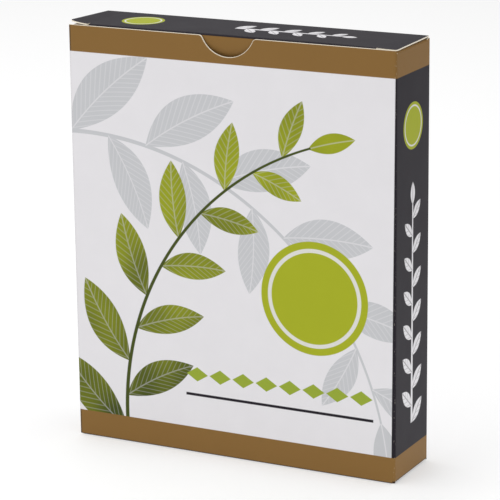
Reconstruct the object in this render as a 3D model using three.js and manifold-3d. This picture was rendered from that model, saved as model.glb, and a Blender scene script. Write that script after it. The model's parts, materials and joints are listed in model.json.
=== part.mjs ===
// A folding carton of tea filters, standing on its base with its front towards -Y.
// The carton is one sheet of board: four walls, a glue flap, two dust flaps, a glued bottom and
// a tuck lid that turns on the crease along its back edge. Thirty flat filter pouches of
// unbleached paper stand inside it, each with a drawstring in its hem and a card tag.
// Millimetres, +Z up, origin at the middle of the base.
import * as THREE from "three";
import { mergeVertices } from "three/addons/utils/BufferGeometryUtils.js";
import Module from "manifold-3d";

const wasm = await Module();
wasm.setup();

// The sheets, and the room between them.
const board = 0.45; // carton board thickness
const creaseRadius = 0.8; // outside of a fold
const sheetGap = 0.3; // between two separate sheets that lie together
const glueLine = 0.12; // between two layers of the same sheet
const cutInset = 0.4; // how far a cut edge stops short of the corner beside it

// One filter, lying flat.
const filterCount = 30;
const pouchWidth = 100;
const pouchHeight = 120;
const pouchThickness = 0.25; // two plies
const pouchCorner = 3;
const sealWidth = 4; // pressed seam down each side
const sealThickness = 0.13;
const hemDepth = 9;
const hemThickness = 0.35; // four plies, with the string between them
const tagWidth = 20;
const tagHeight = 24;
const tagRise = 10; // how far the tag stands above the hem
const tagCorner = 1.5;
const tagThickness = 0.2;
const tagCentre = 18;
const stringWidth = 0.6;
const stringThickness = 0.3;
const stringTurn = 4; // radius of each turn of the string on the pouch
const stringRun = 52; // longest straight run
const stringShorter = 8; // each run is this much shorter than the one before it

// Room round the filters in the carton.
const sideRoom = 11.55;
const stackRoom = 0.95;
const headRoom = 4;

// The flaps.
const glueFlapWidth = 13;
const dustFlapLength = 30;
const dustFlapTaper = 3; // how much narrower its free end is at the back
const dustFlapCorner = 7;
const bottomFlapLength = 32; // of the two side flaps under the filters
const innerFlapDepth = 20; // of the flap from the back wall
const lidInset = 0.25; // of the lid's cut ends from the side walls
const tuckLength = 14;
const tuckCorner = 9;
const slitLength = 7.4; // cut between the lid's shoulder and the tuck flap
const slitWidth = 0.3;
const shoulderCorner = 2;
const frontDrop = 0.5; // how far the front wall stops below the top of the lid

// The thumb notch in the front wall.
const notchRadius = 10.5;
const notchDepth = 6.9;
const notchFlare = 1.5;

// What follows from them.
const filterThickness = pouchThickness + stringThickness;
const filterPitch = filterThickness + sheetGap;
const stackDepth = filterCount * filterPitch - sheetGap;
const cartonWidth = pouchWidth + 2 * (sideRoom + board);
const cartonDepth = stackDepth + 2 * (stackRoom + board);
const halfWidth = cartonWidth / 2;
const halfDepth = cartonDepth / 2;
const layer = board + glueLine; // step from one bottom flap to the next
const floorTop = 2 * layer + board;
const stackBase = floorTop + sheetGap;
const lidReach = cartonDepth - board - sheetGap; // from the lid's crease to the front wall
const tuckStart = Math.asin(creaseRadius / (lidReach - creaseRadius));
const tuckEnd = tuckStart + tuckLength / lidReach;
const tuckDrop = lidReach * Math.sin(tuckEnd);
const cartonHeight = stackBase + pouchHeight + tagRise + headRoom + tuckDrop;
const underLid = cartonHeight - board - sheetGap; // top of the dust flaps and the back wall
const frontTop = cartonHeight - frontDrop;
const lidFront = halfDepth - lidReach;

// Curves are drawn with twice as many facets as these.
const foldSteps = 2;
const cornerSteps = 3;
const tuckSteps = 4;
const notchSteps = 8;
const filterSteps = 1;
const stringSteps = 3;
const reach = 5; // how far a cutting shape runs past what it cuts
const overlap = 0.6; // how far a flap's own strip runs into its wall
const joinTolerance = 1e-3; // points closer than this are one point

// Closed solid from a three.js geometry.
function solid(geometry) {
  const bare = new THREE.BufferGeometry();
  bare.setAttribute("position", geometry.getAttribute("position"));
  if (geometry.index) bare.setIndex(geometry.index);
  const merged = mergeVertices(bare, 1e-4);
  const vertProperties = merged.getAttribute("position").array;
  const triVerts = new Uint32Array(merged.index.array);
  return new wasm.Manifold(new wasm.Mesh({ numProp: 3, vertProperties, triVerts }));
}

function geometryOf(manifold) {
  const { vertProperties, triVerts } = manifold.getMesh();
  const geometry = new THREE.BufferGeometry();
  geometry.setAttribute("position", new THREE.BufferAttribute(vertProperties, 3));
  geometry.setIndex(new THREE.BufferAttribute(triVerts, 1));
  return geometry.toNonIndexed();
}

function joined(solids) {
  return solids.reduce((whole, piece) => whole.add(piece));
}

// Shape extruded along one axis. The shape's x and y stand for the two axes named by plane.
function extruded(shape, plane, from, to, steps = cornerSteps) {
  const options = { depth: to - from, bevelEnabled: false, curveSegments: steps };
  const geometry = new THREE.ExtrudeGeometry(shape, options);
  geometry.translate(0, 0, from);
  const axes = {
    xy: new THREE.Matrix4(),
    xz: new THREE.Matrix4().set(1, 0, 0, 0, 0, 0, -1, 0, 0, 1, 0, 0, 0, 0, 0, 1),
    yz: new THREE.Matrix4().set(0, 0, 1, 0, 1, 0, 0, 0, 0, 1, 0, 0, 0, 0, 0, 1),
  };
  return solid(geometry.applyMatrix4(axes[plane]));
}

function block(x0, x1, y0, y1, z0, z1) {
  const geometry = new THREE.BoxGeometry(x1 - x0, y1 - y0, z1 - z0);
  geometry.translate((x0 + x1) / 2, (y0 + y1) / 2, (z0 + z1) / 2);
  return solid(geometry);
}

// Outline of a strip that follows a path and reaches left and right of it.
function strip(path, left, right, steps = foldSteps) {
  const points = path.getPoints(steps).filter(
    (point, i, all) => !i || point.distanceTo(all[i - 1]) > joinTolerance,
  );
  const sides = [[], []];
  points.forEach((point, i) => {
    const before = points[Math.max(i - 1, 0)];
    const after = points[Math.min(i + 1, points.length - 1)];
    const arriving = point.clone().sub(i ? before : point).normalize();
    const leaving = after.clone().sub(point).normalize();
    const along = arriving.clone().add(leaving).normalize();
    const stretch = i && i < points.length - 1 ? 1 / along.dot(leaving) : 1;
    const normal = new THREE.Vector2(-along.y, along.x).multiplyScalar(stretch);
    sides[0].push(point.clone().addScaledVector(normal, left));
    sides[1].push(point.clone().addScaledVector(normal, -right));
  });
  const outline = [...sides[0], ...sides[1].reverse()];
  if (THREE.ShapeUtils.isClockWise(outline)) outline.reverse();
  return new THREE.Shape(outline);
}

// Rectangle with its corners rounded, each by its own radius.
function rounded(x0, x1, y0, y1, [lowLeft, lowRight, highRight, highLeft]) {
  const shape = new THREE.Shape();
  const turn = Math.PI / 2;
  shape.moveTo(x0 + lowLeft, y0);
  shape.lineTo(x1 - lowRight, y0);
  if (lowRight) shape.absarc(x1 - lowRight, y0 + lowRight, lowRight, -turn, 0);
  shape.lineTo(x1, y1 - highRight);
  if (highRight) shape.absarc(x1 - highRight, y1 - highRight, highRight, 0, turn);
  shape.lineTo(x0 + highLeft, y1);
  if (highLeft) shape.absarc(x0 + highLeft, y1 - highLeft, highLeft, turn, 2 * turn);
  shape.lineTo(x0, y0 + lowLeft);
  if (lowLeft) shape.absarc(x0 + lowLeft, y0 + lowLeft, lowLeft, 2 * turn, 3 * turn);
  return shape;
}

// The four walls in one strip, from the back wall's cut edge round to the glue flap inside it.
function walls() {
  const quarter = Math.PI / 2;
  const r = creaseRadius;
  const glueFace = halfDepth - layer;
  const path = new THREE.Path();
  path.moveTo(-halfWidth + cutInset, halfDepth);
  path.lineTo(halfWidth - r, halfDepth);
  path.absarc(halfWidth - r, halfDepth - r, r, quarter, 0, true);
  path.lineTo(halfWidth, r - halfDepth);
  path.absarc(halfWidth - r, r - halfDepth, r, 0, -quarter, true);
  path.lineTo(r - halfWidth, -halfDepth);
  path.absarc(r - halfWidth, r - halfDepth, r, -quarter, -2 * quarter, true);
  path.lineTo(-halfWidth, glueFace - r);
  path.absarc(r - halfWidth, glueFace - r, r, 2 * quarter, quarter, true);
  path.lineTo(glueFlapWidth - halfWidth, glueFace);
  return extruded(strip(path, 0, board), "xy", creaseRadius, frontTop);
}

// What is cut from the walls: each stops where its own flap's crease begins.
function wallCuts() {
  const r = creaseRadius;
  const sideTop = underLid - r;
  const sideBottom = 2 * layer + r;
  const above = cartonHeight + reach;
  const cuts = [];
  for (const x0 of [-halfWidth - reach, halfWidth - 2 * r]) {
    const x1 = x0 + reach + 2 * r;
    cuts.push(block(x0, x1, r - halfDepth, halfDepth - layer - r, sideTop, above));
    cuts.push(block(x0, x1, r - halfDepth, halfDepth - layer - r, -reach, sideBottom));
  }
  const backFace = halfDepth - 2 * r;
  cuts.push(block(-cartonWidth, cartonWidth, backFace, halfDepth + reach, underLid, above));
  cuts.push(block(-cartonWidth, cartonWidth, backFace, halfDepth + reach, -reach, layer + r));
  return cuts;
}

// Thumb notch: a round scoop whose ends flare into the wall's top edge.
function thumbNotch() {
  const centre = frontTop + notchRadius - notchDepth;
  const flareCentre = frontTop - notchFlare;
  const span = Math.sqrt((notchRadius + notchFlare) ** 2 - (centre - flareCentre) ** 2);
  const lean = Math.atan2(centre - flareCentre, span);
  const shape = new THREE.Shape();
  shape.moveTo(-span, frontTop + reach);
  shape.lineTo(-span, frontTop);
  shape.absarc(-span, flareCentre, notchFlare, Math.PI / 2, lean, true);
  shape.absarc(0, centre, notchRadius, Math.PI + lean, 2 * Math.PI - lean, false);
  shape.absarc(span, flareCentre, notchFlare, Math.PI - lean, Math.PI / 2, true);
  shape.lineTo(span, frontTop + reach);
  return extruded(shape, "xz", halfDepth - creaseRadius, halfDepth + reach, notchSteps);
}

// Strip that leaves a wall, turns a quarter fold and runs on as a flap. Its path is drawn in the
// upright plane across the fold: side is 1 or -1 for the wall's side, up is 1 for a top flap.
function flapStrip(side, up, wallFace, flapFace, length) {
  const r = creaseRadius;
  const bend = flapFace - up * r;
  const path = new THREE.Path();
  path.moveTo(side * wallFace, bend - up * overlap);
  path.lineTo(side * wallFace, bend);
  const start = side > 0 ? 0 : Math.PI;
  path.absarc(side * (wallFace - r), bend, r, start, (up * Math.PI) / 2, side * up < 0);
  path.lineTo(side * (wallFace - length), flapFace);
  const inner = side * up > 0 ? [board, 0] : [0, board];
  return strip(path, ...inner);
}

// Dust flap under the lid. Its root reaches the front wall, where the lid's slit hooks over it.
function dustFlap(side) {
  const fold = extruded(
    flapStrip(side, 1, halfWidth, underLid, dustFlapLength),
    "xz",
    -(halfDepth - layer - creaseRadius),
    halfDepth - creaseRadius,
  );
  const root = halfWidth + reach;
  const tip = halfWidth - dustFlapLength;
  const hook = halfWidth - slitLength;
  const hookFront = lidFront;
  const front = lidFront + board + sheetGap;
  const back = halfDepth - layer - creaseRadius - cutInset;
  const outline = new THREE.Shape();
  outline.moveTo(root, hookFront);
  outline.lineTo(root, back);
  outline.lineTo(tip + dustFlapCorner, back - dustFlapTaper);
  outline.quadraticCurveTo(tip, back - dustFlapTaper, tip, back - dustFlapTaper - dustFlapCorner);
  outline.lineTo(tip, front + dustFlapCorner);
  outline.absarc(tip + dustFlapCorner, front + dustFlapCorner, dustFlapCorner, Math.PI, 1.5 * Math.PI);
  outline.lineTo(hook, front);
  outline.lineTo(hook, hookFront);
  const trim = extruded(outline, "xy", underLid - 2 * reach, cartonHeight);
  return fold.intersect(side > 0 ? trim : trim.mirror([1, 0, 0]));
}

// The glued bottom, from the inside out: two side flaps, the back wall's flap, the front wall's.
function bottomFlaps() {
  const ends = halfDepth - creaseRadius;
  const sideEnd = ends - layer;
  const flaps = [-1, 1].map((side) => {
    const shape = flapStrip(side, -1, halfWidth, 2 * layer, bottomFlapLength);
    return extruded(shape, "xz", -sideEnd, ends);
  });
  const across = halfWidth - creaseRadius - cutInset;
  const inner = flapStrip(1, -1, halfDepth, layer, innerFlapDepth);
  flaps.push(extruded(inner, "yz", -across, across));
  const outer = flapStrip(-1, -1, halfDepth, 0, cartonDepth - cutInset);
  flaps.push(extruded(outer, "yz", -across, across));
  return flaps;
}

function cartonBody() {
  const cut = joined([...wallCuts(), thumbNotch()]);
  return joined([walls().subtract(cut), dustFlap(-1), dustFlap(1), ...bottomFlaps()]);
}

// The lid turns about the outside of its back crease. The tuck flap is bowed to that same
// centre, so it slides out past the front wall as the lid lifts.
function lid() {
  const half = halfWidth - lidInset;
  const neck = half - slitLength;
  const shoulderBack = lidFront + 2 * creaseRadius;
  const foldCentre = halfDepth - Math.sqrt((lidReach - creaseRadius) ** 2 - creaseRadius ** 2);
  const path = new THREE.Path();
  path.moveTo(shoulderBack + overlap, cartonHeight);
  path.lineTo(foldCentre, cartonHeight);
  const foldHeight = cartonHeight - creaseRadius;
  path.absarc(foldCentre, foldHeight, creaseRadius, Math.PI / 2, Math.PI + tuckStart, false);
  path.absarc(halfDepth, cartonHeight, lidReach, Math.PI + tuckStart, Math.PI + tuckEnd, false);
  const tuck = extruded(strip(path, board, 0, tuckSteps), "yz", -neck, neck);
  const tuckLow = cartonHeight - tuckDrop - board;
  const corners = [tuckCorner, tuckCorner, 0, 0];
  const tuckOutline = rounded(-neck, neck, tuckLow, cartonHeight + reach, corners);
  const trimmed = tuck.intersect(extruded(tuckOutline, "xz", -cartonDepth, cartonDepth));
  const under = cartonHeight - board;
  const panel = block(-half, half, shoulderBack, halfDepth, under, cartonHeight);
  const shoulders = [-1, 1].map((side) => {
    const inside = neck + slitWidth;
    const round = shoulderCorner;
    const back = shoulderBack + overlap;
    const shape =
      side > 0
        ? rounded(inside, half, lidFront, back, [0, round, 0, 0])
        : rounded(-half, -inside, lidFront, back, [round, 0, 0, 0]);
    return extruded(shape, "xy", under, cartonHeight);
  });
  return joined([panel, trimmed, ...shoulders]);
}

// The string's way over the pouch: out of the hem, down and up in shortening runs, to the tag.
function stringPath(top) {
  const runs = 4;
  const path = new THREE.Path();
  let x = tagCentre + (runs - 1) * 2 * stringTurn;
  let low = top - hemDepth - stringRun;
  const high = top - hemDepth - 2 * stringTurn - tagHeight;
  path.moveTo(x, top - hemDepth);
  for (let run = 1; run < runs; run += 1) {
    const down = run % 2 === 1;
    const turnHeight = down ? low : high;
    path.lineTo(x, turnHeight);
    const [from, to] = down ? [0, -Math.PI] : [0, Math.PI];
    path.absarc(x - stringTurn, turnHeight, stringTurn, from, to, down);
    x -= 2 * stringTurn;
    if (down) low += stringShorter;
  }
  path.lineTo(x, top + tagRise - tagHeight);
  return path;
}

// One filter with its foot at z 0 and the face of its pouch at y 0, seen from the front.
function filter() {
  const half = pouchWidth / 2;
  const inside = half - sealWidth;
  const hemLow = pouchHeight - hemDepth;
  const round = [pouchCorner, pouchCorner, 0, 0];
  const middle = (pouchThickness - sealThickness) / 2;
  const seals = extruded(
    rounded(-half, half, 0, pouchHeight, round),
    "xz",
    -(middle + sealThickness),
    -middle,
    filterSteps,
  );
  const pouch = block(-inside, inside, 0, pouchThickness, middle, pouchHeight);
  const hemFront = hemThickness - pouchThickness;
  const hem = block(-half, half, -hemFront, pouchThickness, hemLow, pouchHeight);
  const tagTop = pouchHeight + tagRise;
  const tagCorners = [tagCorner, tagCorner, tagCorner, tagCorner];
  const tag = extruded(
    rounded(
      tagCentre - tagWidth / 2,
      tagCentre + tagWidth / 2,
      tagTop - tagHeight,
      tagTop,
      tagCorners,
    ),
    "xz",
    stringThickness - tagThickness,
    stringThickness,
    filterSteps,
  );
  const string = extruded(
    strip(stringPath(pouchHeight), stringWidth / 2, stringWidth / 2, stringSteps),
    "xz",
    -pouchThickness / 2,
    stringThickness,
  );
  return joined([seals, pouch, hem, tag, string]);
}

const printedBoard = new THREE.MeshStandardMaterial({ color: 0xe2e0e4, roughness: 0.45 });
const blackBoard = new THREE.MeshStandardMaterial({ color: 0x423e44, roughness: 0.4 });
const filterPaper = new THREE.MeshStandardMaterial({ color: 0xc29a6b, roughness: 0.9 });

const carton = new THREE.Group();

function add(name, geometry, material, parent = carton) {
  const mesh = new THREE.Mesh(geometry, material);
  mesh.name = name;
  parent.add(mesh);
  return mesh;
}

add("carton_body", geometryOf(cartonBody()), printedBoard);
add("lid", geometryOf(lid()), blackBoard);

const filterGeometry = geometryOf(filter());
const stack = new THREE.Group();
stack.position.set(0, -stackDepth / 2 + stringThickness, stackBase);
carton.add(stack);
for (let i = 0; i < filterCount; i += 1) {
  const name = `filter_${String(i + 1).padStart(2, "0")}`;
  add(name, filterGeometry, filterPaper, stack).position.y = i * filterPitch;
}

export default carton;
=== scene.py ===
"""A folding carton of drawstring tea filters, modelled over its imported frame.

The carton is one sheet of board: its outside is drawn first, folded flap by flap, and then given its
thickness. The lid and the crease it turns on are sheets of their own. Places are in metres, as in the frame.
"""
import json
import math
import random
from functools import partialmethod

import bmesh
import bpy
from mathutils import Euler, Matrix, Vector


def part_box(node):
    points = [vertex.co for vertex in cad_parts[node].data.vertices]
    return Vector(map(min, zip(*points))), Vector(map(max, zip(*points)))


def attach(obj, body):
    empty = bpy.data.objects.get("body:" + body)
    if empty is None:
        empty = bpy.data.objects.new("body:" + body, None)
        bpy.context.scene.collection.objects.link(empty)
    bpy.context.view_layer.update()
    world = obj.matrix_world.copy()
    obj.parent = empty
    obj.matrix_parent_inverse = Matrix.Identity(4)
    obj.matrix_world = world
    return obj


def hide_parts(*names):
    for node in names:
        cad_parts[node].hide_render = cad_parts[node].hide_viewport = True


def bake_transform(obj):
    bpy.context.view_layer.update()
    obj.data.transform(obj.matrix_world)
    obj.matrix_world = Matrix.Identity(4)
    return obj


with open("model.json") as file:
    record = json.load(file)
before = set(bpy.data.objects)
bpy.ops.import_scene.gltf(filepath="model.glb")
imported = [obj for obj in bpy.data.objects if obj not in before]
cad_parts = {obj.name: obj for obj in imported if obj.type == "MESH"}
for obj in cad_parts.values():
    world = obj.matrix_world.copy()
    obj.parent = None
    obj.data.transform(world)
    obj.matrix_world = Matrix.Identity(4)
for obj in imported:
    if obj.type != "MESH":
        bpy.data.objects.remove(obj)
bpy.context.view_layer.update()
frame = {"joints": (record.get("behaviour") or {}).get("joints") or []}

bl_info = {
    "name": "Folding carton of tea filters",
    "version": (1, 0, 0),
    "blender": (4, 5, 0),
    "location": "3D View > Sidebar > Carton",
    "description": "Models a tuck-lid carton of drawstring tea filters over its packed frame",
    "category": "Object",
}

MM = 0.001
HALF_WIDTH, HALF_DEPTH, FRONT_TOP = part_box("carton_body")[1]
LID_LOW, LID_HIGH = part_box("lid")
LID_TOP = LID_HIGH.z
HINGE = Vector(frame["joints"][0]["pos_m"])
FILTERS = [f"filter_{number:02d}" for number in range(1, 31)]

AXES = {"x": Vector((1, 0, 0)), "y": Vector((0, 1, 0)), "z": Vector((0, 0, 1))}
RIGHT_ANGLE = math.pi / 2
HAIR = 0.01 * MM  # lengths closer than this are the same
SQUARE_ON = 0.9  # a face looks along an axis if its normal's share of it is larger
FLAT_ON = 0.99  # it counts as a side wall, as the first strip of a fold beside it does, if larger than this

# Steps and reaches of the modelling
WALL_GRID = 15 * MM  # spacing of the cuts that let the large walls bow
BOW_REACH = 58 * MM  # how far from its middle a wall bows
LEAN_START = 5 * MM  # how far outside its root a dust flap's lean starts
NOTCH_STEPS = 12
FLARE_STEPS = 6
TUCK_ROWS = 14

# Places on the print, its wear and its painted shade, in millimetres from the frame's origin
BAND_FOOT = 9.4  # top of the lower gold band
BAND_TOP = 140.2  # foot of the upper one
FRONT_EDGE = 13  # the front's print starts this far forward
RIGHT_EDGE = 60.7  # the right wall's print starts this far out at its foot
RIGHT_LEAN = 1 / 150  # and further out by this for each millimetre up
LEFT_EDGE = 61.75  # the left wall's print starts this far out
SIDE_FACE = 61.9  # the right wall's design lies past this
SIDE_FOLD = 61.45  # varnish cracks where it is past this to the side
FRONT_FOLD = 13.45  # and past this to the front or the back
SHADE_SIDE = 61.1  # painted shade darkens the side walls' bottom folds and the front's left fold past this
SHADE_FRONT = 12.9  # and the front wall's bottom fold past this
CUT_TOP = 149.39  # the front wall's cut edge shows above this
CUT_FRONT = 13.4  # and past this to the front
BARE_UNDER = 9.5  # the bottom's outer flap is bare behind this
LID_FACE = 149.9  # the lid's design lies above this
TUCK_GOLD = 149.35  # and gold brown runs down the tuck flap from here


def length(name, description, millimetres):
    """Property for a length, with its default given in millimetres."""
    return bpy.props.FloatProperty(
        name=name,
        description=description,
        default=millimetres * MM,
        min=0,
        unit="LENGTH",
        precision=5,
    )


def ink(name, description, red, green, blue):
    """Property for a colour, with its default given as it looks on a screen, 0 to 255."""
    values = [level / 255 for level in (red, green, blue)]
    linear = [v / 12.92 if v <= 0.04045 else ((v + 0.055) / 1.055) ** 2.4 for v in values]
    return bpy.props.FloatVectorProperty(
        name=name,
        description=description,
        default=linear,
        min=0,
        max=1,
        size=3,
        subtype="COLOR",
    )


def rotation(name, description, degrees):
    """Property for an angle, with its default given in degrees."""
    return bpy.props.FloatProperty(
        name=name, description=description, default=math.radians(degrees), subtype="ANGLE"
    )


def strength(name, description, default):
    """Property for the strength of a light."""
    return bpy.props.FloatProperty(name=name, description=description, default=default)


class BoardSizes(bpy.types.PropertyGroup):
    """Sizes of the carton board and its flaps."""

    thickness: length("Board", "Thickness of the carton board", 0.45)
    crease: length("Crease", "Outside radius of a fold", 0.8)
    glue_line: length("Glue line", "Gap between two glued layers", 0.12)
    sheet_gap: length("Sheet gap", "Gap between two sheets that only lie together", 0.42)
    cut_inset: length("Cut inset", "How far a cut edge stops short of the corner beside it", 0.4)
    glue_flap: length("Glue flap", "Width of the flap inside the back wall", 13)
    dust_flap: length("Dust flap", "Reach of a dust flap from its wall", 30)
    dust_taper: length("Dust taper", "How much narrower a dust flap's free end is", 3)
    dust_corner: length("Dust corner", "Corner radius of a dust flap", 7)
    foot: length("Foot", "How far the side walls' bottom fold stands above the base", 0.35)
    ramp: length("Ramp", "Width over which a bottom side flap rises onto the others", 1.7)
    bottom_flap: length("Bottom side flap", "Reach of a side flap in the glued bottom", 32)
    inner_flap: length("Bottom back flap", "Reach of the back flap in the glued bottom", 20)
    tuck: length("Tuck", "Length of the tuck flap along its bow", 14)
    tuck_corner: length("Tuck corner", "Corner radius of the tuck flap", 9)
    shoulder: length("Shoulder", "Width of each of the lid's shoulders, beside the tuck flap", 7.4)
    slit_width: length("Slit width", "Width of the cut at the left of the tuck flap", 0.3)
    tight_slit: length("Tight slit", "Width of the cut at its right, which has stayed shut", 0.08)
    shoulder_corner: length("Shoulder corner", "Corner radius of the lid's right shoulder", 0.8)
    left_corner: length("Left corner", "Corner radius of the lid's left shoulder, worn rounder", 2.1)
    shoulder_curl: length("Shoulder curl", "How far the left shoulder's corner has lifted", 0.95)
    shoulder_press: length("Shoulder press", "How far the right shoulder is pressed down", 0.38)
    press_reach: length("Press reach", "How far in from the right shoulder the lid is pressed down too", 15)
    notch_radius: length("Notch radius", "Radius of the thumb notch", 10.5)
    notch_depth: length("Notch depth", "Depth of the thumb notch", 6.9)
    notch_flare: length("Notch flare", "Radius where the notch meets the wall's edge", 1.5)
    panel_bow: length("Panel bow", "How far the two large walls bow outwards", 0.2)


class FilterSizes(bpy.types.PropertyGroup):
    """Sizes of one filter pouch, its drawstring and its tag."""

    paper: length("Pouch", "Thickness of the two plies together", 0.25)
    seal: length("Seal", "Thickness of the plies where they are pressed together", 0.13)
    seal_width: length("Seal width", "Width of the pressed seam down each side", 4)
    hem: length("Hem", "Depth of the hem that holds the string", 9)
    hem_rise: length("Hem rise", "How far the hem stands out from the pouch", 0.1)
    hem_ramp: length("Hem ramp", "Height over which the hem comes to stand out", 0.3)
    foot_corner: length("Foot corner", "Corner radius at the pouch's foot", 3)
    wave: length("Wave", "How far the paper waves from flat", 0.09)
    wave_spread: length("Wave spread", "How far apart the paper's waves are", 30)
    string: length("String", "Diameter of the cotton string", 0.36)
    string_turn: length("String turn", "Radius of the string's turns", 4)
    string_sway: length("String sway", "How far a run strays from straight", 0.25)
    string_run: length("String run", "Longest straight run of the string", 52)
    string_step: length("String step", "How much shorter each run is than the last", 8)
    tag_centre: length("Tag centre", "Where the tag stands, right of the middle", 18)
    tag_width: length("Tag width", "Width of the card tag", 20)
    tag_height: length("Tag height", "Height of the card tag", 24)
    tag_rise: length("Tag rise", "How far the tag stands above the pouch", 10)
    tag_corner: length("Tag corner", "Corner radius of the tag", 1.5)
    tag_card: length("Tag card", "Thickness of the tag", 0.2)


class PrintColours(bpy.types.PropertyGroup):
    """Colours of the inks, the board and the papers."""

    white: ink("White", "Coated white of the front and back", 235, 233, 236)
    gold: ink("Gold brown", "Bands round the top and bottom", 139, 105, 58)
    charcoal: ink("Charcoal", "Lid and side walls", 38, 34, 41)
    leaf: ink("Leaf green", "Disc and young leaves", 170, 178, 42)
    olive: ink("Olive", "Border on the front", 154, 172, 60)
    dark_leaf: ink("Dark leaf", "Old leaves and their stem", 72, 82, 34)
    grey: ink("Pale grey", "Leaves in the background", 203, 204, 207)
    inside: ink("Inside board", "Uncoated inside of the carton", 214, 208, 196)
    edge: ink("Cut edge", "Raw edge of the board", 255, 246, 228)
    paper: ink("Filter paper", "Unbleached filter paper", 196, 160, 116)
    cotton: ink("Cotton", "String of the filters", 238, 234, 224)
    card: ink("Tag card", "White card of the tags", 240, 239, 234)
    floor: ink("Floor", "Studio floor", 205, 205, 205)


class StudioSettings(bpy.types.PropertyGroup):
    """Camera and lights."""

    lens: bpy.props.FloatProperty(name="Lens", description="Focal length", default=184.4, unit="CAMERA")
    place: bpy.props.FloatVectorProperty(
        name="Camera place",
        description="Where the camera stands",
        default=(0.3935, -0.7646, 0.3040),
        subtype="XYZ",
        unit="LENGTH",
    )
    yaw: rotation("Yaw", "Turn to the left", 27.20)
    pitch: rotation("Pitch", "Tilt down", 15.09)
    roll: rotation("Roll", "Turn of the frame", -0.64)
    room_light: strength("Room", "Strength of the room", 0.46)
    key_light: strength("Key", "Watts of the front light", 2.65)
    side_light: strength("Side", "Watts of the low side light", 0.025)
    top_light: strength("Top", "Watts of the top light", 12.5)
    floor_glow: strength("Floor glow", "Strength of the light that the floor gives off", 0.42)


# Modelling in edit mode

def near(a, b, tolerance=HAIR):
    """Whether two lengths are the same."""
    return abs(a - b) < tolerance


def pick(kind, test, round_it=None):
    """Select the points, edges or faces in edit mode that pass a test, and leave the rest.

    A point is tested by its place, an edge by the places of its two ends, and a face by the place of its
    middle and its normal. Where a second test is given, the normals of all the faces round a point pass it.
    """
    bpy.ops.mesh.select_mode(type=kind)
    bpy.ops.mesh.select_all(action="DESELECT")
    data = bpy.context.edit_object.data
    mesh = bmesh.from_edit_mesh(data)
    if kind == "VERT":
        chosen = [point for point in mesh.verts if test(point.co)]
    elif kind == "EDGE":
        chosen = [edge for edge in mesh.edges if test(edge.verts[0].co, edge.verts[1].co)]
    else:
        chosen = [face for face in mesh.faces if test(face.calc_center_median(), face.normal)]
    if round_it:
        chosen = [point for point in chosen if all(round_it(face.normal) for face in point.link_faces)]
    if not chosen:
        raise RuntimeError(f"nothing to pick on {bpy.context.edit_object.name}")
    for item in chosen:
        item.select_set(True)
    mesh.select_flush_mode()
    bmesh.update_edit_mesh(data)


def stands_at(x=None, y=None, z=None):
    """Test of place, passed by points that have the coordinates that are given."""
    wanted = [(axis, value) for axis, value in enumerate((x, y, z)) if value is not None]
    return lambda p: all(near(p[axis], value) for axis, value in wanted)


def both(test):
    """Test of an edge, passed where both of its ends pass a test of place."""
    return lambda a, b: test(a) and test(b)


def cut(axis, place, test=lambda middle, facing: True):
    """Bisect the faces that pass a test, square to an axis at a place along it."""
    pick("FACE", test)
    bpy.ops.mesh.bisect(plane_co=AXES[axis] * place, plane_no=AXES[axis], threshold=1e-6)


def shift(x=0, y=0, z=0):
    """Move what is selected."""
    bpy.ops.transform.translate(value=(x, y, z))


def run_on(x=0, y=0, z=0):
    """Extrude what is selected straight on."""
    bpy.ops.mesh.extrude_region_move(TRANSFORM_OT_translate={"value": (x, y, z)})


def round_off(radius, segments=6, affect="EDGES"):
    """Bevel the selected edges, or the selected points of a sheet's outline."""
    bpy.ops.mesh.bevel(
        offset=radius, offset_type="OFFSET", segments=segments, affect=affect, clamp_overlap=False
    )


def fold(centre, axis, angle, end, steps=6):
    """Turn the selected edge round a fold, and make sure that it comes out at its place.

    The turn is right-handed about the axis, and spin itself turns the other way.
    """
    bpy.ops.mesh.spin(steps=steps, angle=-angle, center=centre, axis=axis)
    mesh = bmesh.from_edit_mesh(bpy.context.edit_object.data)
    ends = [point.co for point in mesh.verts if point.select]
    for name, value in end.items():
        if any(not near(getattr(point, name), value, 2 * HAIR) for point in ends):
            raise RuntimeError(f"a fold on {bpy.context.edit_object.name} ends at the wrong {name}")


def select_alone(piece):
    """Make a piece the active one, and select nothing else."""
    bpy.ops.object.select_all(action="DESELECT")
    bpy.context.view_layer.objects.active = piece
    piece.select_set(True)


def open_mesh(piece):
    """Take one piece into edit mode with nothing selected."""
    select_alone(piece)
    bpy.ops.object.mode_set(mode="EDIT")
    bpy.ops.mesh.select_all(action="DESELECT")


def close_mesh():
    """Leave edit mode."""
    bpy.ops.object.mode_set(mode="OBJECT")


def settle(piece, name):
    """Name a piece and its mesh, and put its place, turn and size into the mesh."""
    piece.name = name
    piece.data.name = name
    bpy.ops.object.transform_apply(location=True, rotation=True, scale=True)


def start_block(name, low, high):
    """Cube brought to its size and place, in edit mode."""
    low, high = Vector(low), Vector(high)
    bpy.ops.object.select_all(action="DESELECT")
    bpy.ops.mesh.primitive_cube_add(size=1, location=(low + high) / 2)
    piece = bpy.context.object
    piece.scale = high - low
    settle(piece, name)
    open_mesh(piece)
    return piece


def start_sheet(name, low, high, turned=0):
    """Plane brought to its size and place, in edit mode. It lies flat, or stands when turned."""
    low, high = Vector(low), Vector(high)
    size = high - low
    bpy.ops.object.select_all(action="DESELECT")
    bpy.ops.mesh.primitive_plane_add(size=1, location=(low + high) / 2, rotation=(turned, 0, 0))
    piece = bpy.context.object
    piece.scale = (size.x, size.z if turned else size.y, 1)
    settle(piece, name)
    open_mesh(piece)
    return piece


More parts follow.
